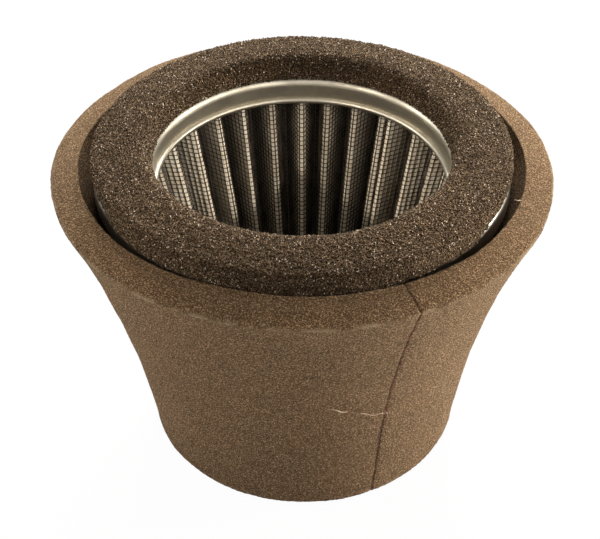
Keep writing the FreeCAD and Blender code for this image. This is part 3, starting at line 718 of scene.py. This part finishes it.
def pleat_line(height, shift, fold_steps=4, flank_steps=6):
    """Points (x, y) of the strip at a height, moved outwards by shift, all in mm."""
    share = (height - PACK_FOOT) / (PACK_HEAD - PACK_FOOT)
    inner = INNER_FOLDS[0] + (INNER_FOLDS[1] - INNER_FOLDS[0]) * share + FOLD_RADIUS
    outer = OUTER_FOLDS[0] + (OUTER_FOLDS[1] - OUTER_FOLDS[0]) * share - FOLD_RADIUS
    centres = []
    for step in range(2 * FOLDS - 1):
        middle = 4 * share * (1 - share)
        angle = fold_angle(step / 2) + fold_leans[step] * (share - 0.5)
        radius = (inner if step % 2 == 0 else outer) + fold_depths[step] * middle
        centres.append(np.array([radius * math.cos(angle), radius * math.sin(angle)]))
    out = np.array([math.cos(SEAM_SIDE), math.sin(SEAM_SIDE)])
    tip = out * (outer + FOLD_RADIUS + HALF_PACK - CLIP_ROOM)
    radii = [FOLD_RADIUS - shift, FOLD_RADIUS + shift]

    def end_flank(first):
        centre = centres[0] if first else centres[-1]
        side = 1 if first else -1
        start_point = tip + left_of(out) * side * (END_OFFSET + shift)
        between = centre - start_point
        lean = math.asin(radii[0] / np.linalg.norm(between)) * side
        touch = centre + left_of(turned(unit(between), lean)) * side * radii[0]
        return start_point, touch

    points = []

    def flank(start_point, end_point):
        for k in range(flank_steps):
            points.append(start_point + (end_point - start_point) * k / flank_steps)

    def fold(centre, start_point, end_point, is_inner):
        a = math.atan2(*(start_point - centre)[::-1])
        b = math.atan2(*(end_point - centre)[::-1])
        sweep = (b - a) % (2 * math.pi)
        if is_inner:
            sweep -= 2 * math.pi
        radius = np.linalg.norm(start_point - centre)
        for k in range(fold_steps):
            angle = a + sweep * k / fold_steps
            points.append(centre + radius * np.array([math.cos(angle), math.sin(angle)]))

    start_point, arrive = end_flank(True)
    flank(start_point, arrive)
    for step, centre in enumerate(centres):
        is_inner = step % 2 == 0
        if step + 1 < len(centres):
            between = centres[step + 1] - centre
            lean = math.asin(2 * FOLD_RADIUS / np.linalg.norm(between))
            along = turned(unit(between), -lean if is_inner else lean)
            side = left_of(along) * (1 if is_inner else -1)
            leave = centre + side * radii[0 if is_inner else 1]
            meet = centres[step + 1] - side * radii[1 if is_inner else 0]
        else:
            meet, leave = end_flank(False)
        fold(centre, arrive, leave, is_inner)
        flank(leave, meet)
        arrive = meet
    points.append(arrive)
    return np.array(points)


print("pleat line has", len(pleat_line(40.0, 0.0)), "points at 40 mm")

# %% [markdown]
# ## Filter paper
# The paper is a resin-treated sheet about a third of a millimetre thick, cream under a film of
# oil, with painted shade that darkens it from the inner folds out into the pleats' valleys. Its
# two faces come from the pleat line at two depths, joined along the edges into one closed sheet.

# %% Filter paper
def paper_finish():
    material, tree, shader = new_material("oiled_filter_paper")
    place = add_node(tree, "ShaderNodeTexCoord").outputs["Object"]
    blotch = ramp(tree, noise(tree, place, 7 * MM, 4.0, 0.6), 0.35, 0.65)
    colour = mix_colours(tree, blotch, (0.72, 0.61, 0.46, 1), (0.86, 0.77, 0.62, 1))
    split = add_node(tree, "ShaderNodeSeparateXYZ", Vector=place)
    flat = add_node(tree, "ShaderNodeCombineXYZ", X=split.outputs["X"], Y=split.outputs["Y"])
    radius = add_node(tree, "ShaderNodeVectorMath", {"operation": "LENGTH"},
                      Vector=flat.outputs[0]).outputs["Value"]
    crest = add_node(tree, "ShaderNodeMapRange", Value=split.outputs["Z"])
    for name, number in (("From Min", PACK_FOOT), ("From Max", PACK_HEAD),
                         ("To Min", INNER_FOLDS[0]), ("To Max", INNER_FOLDS[1])):
        crest.inputs[name].default_value = number * MM
    # painted shade: the paper darkens with depth behind the inner folds, into the valleys
    depth = math_node(tree, "SUBTRACT", radius, crest.outputs["Result"])
    fold_shade = ramp(tree, depth, 0.6 * MM, 6.0 * MM, 1.0, 0.22)
    fold_shade_colour = add_node(tree, "ShaderNodeCombineColor", Red=fold_shade, Green=fold_shade, Blue=fold_shade)
    colour = mix_colours(tree, 1.0, colour, fold_shade_colour.outputs[0], "MULTIPLY")
    fibre = ramp(tree, noise(tree, place, 0.5 * MM, 4.0, 0.7), 0.3, 0.7, 0.82, 1.08)
    shade = add_node(tree, "ShaderNodeCombineColor", Red=fibre, Green=fibre, Blue=fibre)
    colour = mix_colours(tree, 1.0, colour, shade.outputs[0], "MULTIPLY")
    tree.links.new(colour, shader.inputs["Base Color"])
    shader.inputs["Roughness"].default_value = 0.62
    bump(tree, shader, noise(tree, place, 0.35 * MM, 4.0, 0.7), 0.04 * MM)
    return material


def sheet_between(name, low_shift, high_shift, heights):
    """A closed sheet between two depths of the strip."""
    faces_at = [[pleat_line(h, shift) for h in heights] for shift in (low_shift, high_shift)]
    rows, columns = len(heights), len(faces_at[0][0])
    loop = []
    for h, low, high in zip(heights, *faces_at):
        ring = np.vstack([low, high[::-1]])
        loop.append(np.column_stack([ring, np.full(len(ring), h)]))
    grid = np.array(loop)
    around = 2 * columns
    index = np.arange(rows * around).reshape(rows, around)
    side = np.roll(index, -1, 1)
    faces = np.stack([index[:-1], index[1:], side[1:], side[:-1]], -1).reshape(-1, 4).tolist()
    for row, flip in ((0, False), (rows - 1, True)):
        for k in range(columns - 1):
            quad = [index[row, k], index[row, k + 1], index[row, around - 2 - k],
                    index[row, around - 1 - k]]
            faces.append(quad[::-1] if flip else quad)
    return mesh_piece(name, MM * grid.reshape(-1, 3), faces)


PAPER_HALF = 0.175
paper = sheet_between("filter_paper_sheet", -PAPER_HALF, PAPER_HALF,
                      np.linspace(PACK_FOOT + 0.3, PACK_HEAD - 0.3, 9))
paper.data.materials.append(paper_finish())
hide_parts("filter_paper")
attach(paper, "element")
print("paper:", len(paper.data.polygons), "faces")

# %% [markdown]
# ## Wire cloth
# The cloth that holds the pleats open is woven from steel wire about a quarter of a millimetre
# thick, twenty wires to the inch. There are some five hundred upright wires and sixty round
# ones on each side of the paper. Geometry Nodes sweep a small section along bare edges, which is
# far lighter than modelling each wire, and the edges follow the pleat line.

# %% Wire cloth tree
wire_tree, start, end = open_tree("wire_cloth", [
    ("Wire Radius", FLOAT), ("Sides", "NodeSocketInt"), ("Finish", "NodeSocketMaterial")])
line = add_node(wire_tree, "GeometryNodeMeshToCurve", Mesh=start.outputs["Geometry"])
section = add_node(wire_tree, "GeometryNodeCurvePrimitiveCircle", {"mode": "RADIUS"},
                   Resolution=start.outputs["Sides"], Radius=start.outputs["Wire Radius"])
swept = wire_tree.nodes.new("GeometryNodeCurveToMesh")
wire_tree.links.new(line.outputs[0], swept.inputs["Curve"])
wire_tree.links.new(section.outputs[0], swept.inputs["Profile Curve"])
swept.inputs["Fill Caps"].default_value = True
close_tree(wire_tree, start, end, swept.outputs[0])

# %% Wire cloth
WIRE_PITCH = 1.25
WIRE_RADIUS = 0.14
ROUND_WIRE_DEPTH = 0.315        # from the middle of the strip
UPRIGHT_WIRE_DEPTH = 0.395


def wire_finish():
    material, tree, shader = new_material("oiled_steel_wire")
    place = add_node(tree, "ShaderNodeTexCoord").outputs["Object"]
    film = ramp(tree, noise(tree, place, 3 * MM, 3.0, 0.6), 0.35, 0.65)
    colour = mix_colours(tree, film, (0.040, 0.030, 0.020, 1), (0.11, 0.09, 0.065, 1))
    tree.links.new(colour, shader.inputs["Base Color"])
    shader.inputs["Metallic"].default_value = 0.7
    tree.links.new(ramp(tree, film, 0.0, 1.0, 0.38, 0.6), shader.inputs["Roughness"])
    return material


FLANK_UPRIGHT = 0.973       # cosine of the inner folds' lean from upright


def cloth_edges(round_shift, upright_shift):
    """Bare edges for the round wires and the upright wires."""
    vertices, edges = [], []
    heights = np.arange(PACK_FOOT + 1.0, PACK_HEAD - 0.8, WIRE_PITCH * FLANK_UPRIGHT)
    for h in heights:
        line_points = pleat_line(h, round_shift, fold_steps=4, flank_steps=1)
        base = len(vertices)
        vertices += [[x, y, h] for x, y in line_points]
        edges += [[base + k, base + k + 1] for k in range(len(line_points) - 1)]
    levels = (PACK_FOOT + 0.4, (PACK_FOOT + PACK_HEAD) / 2, PACK_HEAD - 0.4)
    ends = [pleat_line(h, upright_shift, fold_steps=6, flank_steps=12) for h in levels]
    lengths = [np.concatenate([[0], np.cumsum(np.linalg.norm(np.diff(e, axis=0), axis=1))])
               for e in ends]
    stations = np.arange(0.5, lengths[1][-1], WIRE_PITCH)
    number = np.arange(len(lengths[1]))
    places = np.interp(stations, lengths[1], number)
    for place_on_line in places:
        base = len(vertices)
        for e, h in zip(ends, levels):
            x = np.interp(place_on_line, number, e[:, 0])
            y = np.interp(place_on_line, number, e[:, 1])
            vertices.append([x, y, h])
        edges += [[base, base + 1], [base + 1, base + 2]]
    return MM * np.array(vertices), edges


wire_material = wire_finish()
for label, node, side in (("inner_wire_cloth", "inner_mesh", -1),
                          ("outer_wire_cloth", "outer_mesh", 1)):
    wire_points, wire_edges = cloth_edges(side * ROUND_WIRE_DEPTH, side * UPRIGHT_WIRE_DEPTH)
    cloth = mesh_piece(label, wire_points, edges=wire_edges)
    grow(cloth, wire_tree, Wire_Radius=WIRE_RADIUS * MM, Sides=4, Finish=wire_material)
    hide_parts(node)
    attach(cloth, "element")

# %% [markdown]
# ## Pressed steel
# The caps and the collar are drawn from tin-plated sheet. Plating gives a warm, soft shine with
# faint rings from the tool and cloudier patches where oil has dried. The shapes are already
# exact in the frame, so these nodes keep their meshes and only get a finish.

# %% Plated steel
def plated_steel(name, colour, dull, low, high):
    """Tin-plated sheet with tool rings round Z and dried-oil clouds."""
    material, tree, shader = new_material(name)
    place = add_node(tree, "ShaderNodeTexCoord").outputs["Object"]
    split = add_node(tree, "ShaderNodeSeparateXYZ", Vector=place)
    flat = add_node(tree, "ShaderNodeCombineXYZ", X=split.outputs["X"], Y=split.outputs["Y"])
    radius = add_node(tree, "ShaderNodeVectorMath", {"operation": "LENGTH"},
                      Vector=flat.outputs[0]).outputs["Value"]
    rings = add_node(tree, "ShaderNodeCombineXYZ", X=radius, Z=split.outputs["Z"]).outputs[0]
    ring = noise(tree, rings, 0.35 * MM, 3.0, 0.6)
    cloud = ramp(tree, noise(tree, place, 9 * MM, 5.0, 0.65), 0.38, 0.68)
    speck = ramp(tree, noise(tree, place, 0.8 * MM, 2.0, 0.5), 0.60, 0.72)
    tarnish = math_node(tree, "MAXIMUM", math_node(tree, "MULTIPLY", cloud, 0.75),
                        math_node(tree, "MULTIPLY", speck, 0.5))
    tree.links.new(mix_colours(tree, tarnish, colour, dull), shader.inputs["Base Color"])
    shader.inputs["Metallic"].default_value = 1.0
    rough = math_node(tree, "MULTIPLY_ADD", ring, 0.10, ramp(tree, tarnish, 0.0, 1.0, low, high))
    tree.links.new(rough, shader.inputs["Roughness"])
    height = math_node(tree, "MULTIPLY_ADD", ring, 0.35, noise(tree, place, 5 * MM, 2.0, 0.5))
    bump(tree, shader, height, 0.06 * MM)
    return material


def finish_nodes(material, *names):
    for name in names:
        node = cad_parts[name]
        node.data.materials.clear()
        node.data.materials.append(material)
        print(name, "gets", material.name)


collar_steel = plated_steel("tinned_collar_steel", (0.48, 0.435, 0.345, 1), (0.34, 0.305, 0.235, 1),
                            0.36, 0.48)
cap_steel = plated_steel("tinned_cap_steel", (0.62, 0.58, 0.49, 1), (0.40, 0.37, 0.30, 1),
                         0.24, 0.42)
bush_steel = plated_steel("zinc_bush_steel", (0.66, 0.66, 0.64, 1), (0.46, 0.46, 0.43, 1),
                          0.22, 0.40)
finish_nodes(collar_steel, "collar_ring")
finish_nodes(cap_steel, "top_end_cap", "bottom_end_cap", "seam_clip")
finish_nodes(bush_steel, "stud_bush")

# %% [markdown]
# ## Rubber, potting and adhesives
# The potting that bonds the pleats into the caps is a poured brown plastisol with a slightly
# wavy skin, the grommet is black moulded rubber, and the adhesive film is amber. All three are
# the same kind of surface, a coloured skin over fine noise, so one function makes them.

# %% Moulded and poured finishes
def poured(name, colour, dark, roughness, size, relief):
    material, tree, shader = new_material(name)
    place = add_node(tree, "ShaderNodeTexCoord").outputs["Object"]
    cloud = ramp(tree, noise(tree, place, size, 4.0, 0.6), 0.35, 0.65)
    tree.links.new(mix_colours(tree, cloud, dark, colour), shader.inputs["Base Color"])
    tree.links.new(ramp(tree, cloud, 0.0, 1.0, roughness + 0.08, roughness),
                   shader.inputs["Roughness"])
    height = math_node(tree, "MULTIPLY_ADD", noise(tree, place, 0.4 * MM, 3.0, 0.7), 0.3, cloud)
    bump(tree, shader, height, relief)
    return material


potting = poured("plastisol_potting", (0.075, 0.052, 0.034, 1), (0.045, 0.030, 0.020, 1), 0.45,
                 4 * MM, 0.15 * MM)
rubber = poured("moulded_rubber", (0.022, 0.022, 0.021, 1), (0.012, 0.012, 0.012, 1), 0.6,
                1.5 * MM, 0.03 * MM)
adhesive = poured("adhesive_film", (0.20, 0.14, 0.08, 1), (0.11, 0.075, 0.04, 1), 0.4, 3 * MM,
                  0.05 * MM)
finish_nodes(potting, "top_potting", "bottom_potting", "seam_sealant")
finish_nodes(rubber, "stud_grommet")
finish_nodes(adhesive, "gasket_adhesive")

# %% [markdown]
# ## Floor, light and background
# The filter stands on a plain white floor. The camera and shiny metal see floor and world nearly
# white, while the world lights the object gently, so the floor keeps only a faint shadow. A broad
# lamp behind rakes the rims, one low on the right and a weaker one on the left model the wall, a
# faint one fills the front, and two narrow spots from the front corners reach into the mouth and
# light the flanks of the pleats at the back.

# %% Floor and world
FLOOR_COLOUR = (0.82, 0.81, 0.82, 1)
FLOOR_WHITE_SHARE = 0.97        # the rest of what the camera sees keeps the shadow
WORLD_LIGHT = 0.30


def floor_finish():
    material, tree, _ = new_material("white_floor")
    tree.nodes.remove(tree.nodes["Principled BSDF"])
    plain = add_node(tree, "ShaderNodeBsdfDiffuse", Color=FLOOR_COLOUR)
    white = add_node(tree, "ShaderNodeEmission", Color=(1, 1, 1, 1), Strength=1.0)
    seen = tree.nodes.new("ShaderNodeLightPath")
    seen_at_all = math_node(tree, "MAXIMUM", seen.outputs["Is Camera Ray"],
                            seen.outputs["Is Glossy Ray"])
    share = math_node(tree, "MULTIPLY", seen_at_all, FLOOR_WHITE_SHARE)
    both = tree.nodes.new("ShaderNodeMixShader")
    tree.links.new(share, both.inputs[0])
    tree.links.new(plain.outputs[0], both.inputs[1])
    tree.links.new(white.outputs[0], both.inputs[2])
    tree.links.new(both.outputs[0], tree.nodes["Material Output"].inputs["Surface"])
    return material


FLOOR_HALF = 6.0
floor = mesh_piece("floor", [(-FLOOR_HALF, -FLOOR_HALF, 0), (FLOOR_HALF, -FLOOR_HALF, 0),
                             (FLOOR_HALF, FLOOR_HALF, 0), (-FLOOR_HALF, FLOOR_HALF, 0)],
                   [[0, 1, 2, 3]])
floor.data.materials.append(floor_finish())

world = bpy.data.worlds.new("studio")
world.use_nodes = True
bpy.context.scene.world = world
sky = world.node_tree
seen = sky.nodes.new("ShaderNodeLightPath")
visible = math_node(sky, "MAXIMUM", seen.outputs["Is Camera Ray"], seen.outputs["Is Glossy Ray"])
strength = math_node(sky, "MULTIPLY_ADD", visible, 1.0 - WORLD_LIGHT, WORLD_LIGHT)
sky.nodes["Background"].inputs["Color"].default_value = (1, 1, 1, 1)
sky.links.new(strength, sky.nodes["Background"].inputs["Strength"])

# %% Lamps
SPOT_CONE = 4.7                 # full angle, degrees


def lamp(name, place, target, size, power, colour, cone=None):
    """A disc lamp of `power` watts, or a spot if a cone is given."""
    data = bpy.data.lights.new(name, "SPOT" if cone else "AREA")
    if cone:
        data.spot_size = math.radians(cone)
        data.spot_blend = 1.0
        data.shadow_soft_size = size / 2
    else:
        data.shape = "DISK"
        data.size = size
    data.energy = power
    data.color = colour
    light = bpy.data.objects.new(name, data)
    light.location = place
    aim = Vector(place) - Vector(target)
    light.rotation_euler = aim.to_track_quat("Z", "Y").to_euler()
    bpy.context.scene.collection.objects.link(light)


lamp("back_softbox", (0.07, 0.47, 0.335), (0, 0, 0.07), 0.36, 8.3, (1.0, 0.98, 0.95))
lamp("right_softbox", (0.56, 0.03, 0.19), (0, 0, 0.05), 0.30, 4.2, (1.0, 0.97, 0.92))
lamp("left_softbox", (-0.55, 0.05, 0.30), (0, 0, 0.05), 0.30, 1.5, (1.0, 0.97, 0.92))
lamp("front_fill", (0.20, -0.60, 0.36), (0, 0, 0.06), 0.30, 0.6, (1.0, 0.97, 0.93))
lamp("right_mouth_spot", (0.39, -0.39, 0.41), (-0.020, 0.020, 0.060), 0.04, 24.0,
     (1.0, 0.93, 0.84), cone=SPOT_CONE)
lamp("left_mouth_spot", (-0.39, -0.39, 0.41), (0.020, 0.020, 0.060), 0.04, 16.5,
     (1.0, 0.90, 0.78), cone=SPOT_CONE)
bpy.context.scene.view_settings.view_transform = "Standard"

# %% Update the scene
bpy.context.view_layer.update()
